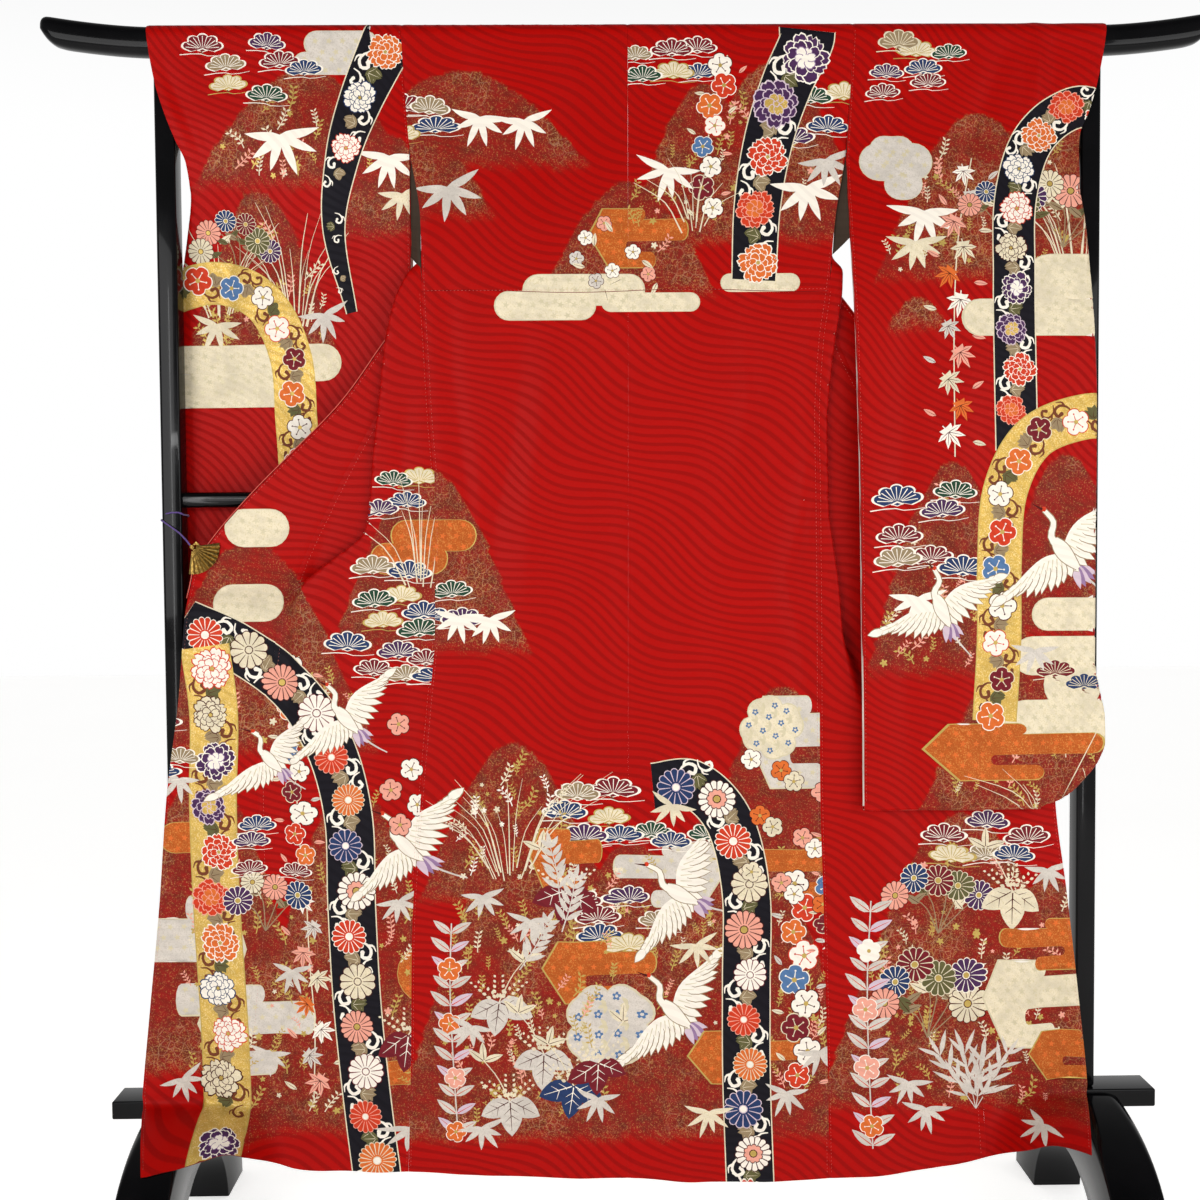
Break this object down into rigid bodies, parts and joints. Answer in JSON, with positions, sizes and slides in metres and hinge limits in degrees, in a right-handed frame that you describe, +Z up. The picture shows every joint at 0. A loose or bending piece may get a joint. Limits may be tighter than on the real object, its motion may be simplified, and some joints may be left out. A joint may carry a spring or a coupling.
{
  "type": "furisode on a kimono stand",
  "caption": "Long-sleeved formal kimono hung back to front over a black lacquered stand, its fronts opened out to the sides and one held by a small fan clip",
  "frame": {"origin": "on the floor under the middle of the stand", "axes": "X across the stand, to the right as seen from the garment's back; Y towards the garment's fronts; Z up"},
  "size_m": [1.64, 0.4586, 1.7462],
  "materials": {
    "silk": "satin figured silk, dyed and embroidered",
    "lining": "plain silk",
    "lacquer": "gloss black lacquer",
    "brass": "aged",
    "purple_cord": "braided silk"
  },
  "bodies": {
    "root": {"body_left": "silk", "body_right": "silk", "okumi_left": "silk", "okumi_right": "silk", "sleeve_left": "silk", "sleeve_right": "silk", "sleeve_lining_left": "lining", "sleeve_lining_right": "lining", "collar": "silk", "clip_fan": "brass", "clip_pin": "brass", "clip_jaw": "brass", "clip_cord": "purple_cord", "stand_top_rail": "lacquer", "stand_post_left": "lacquer", "stand_post_right": "lacquer", "stand_middle_rail": "lacquer", "stand_lower_rail": "lacquer", "stand_foot_left": "lacquer", "stand_foot_right": "lacquer"}
  },
  "joints": []
}
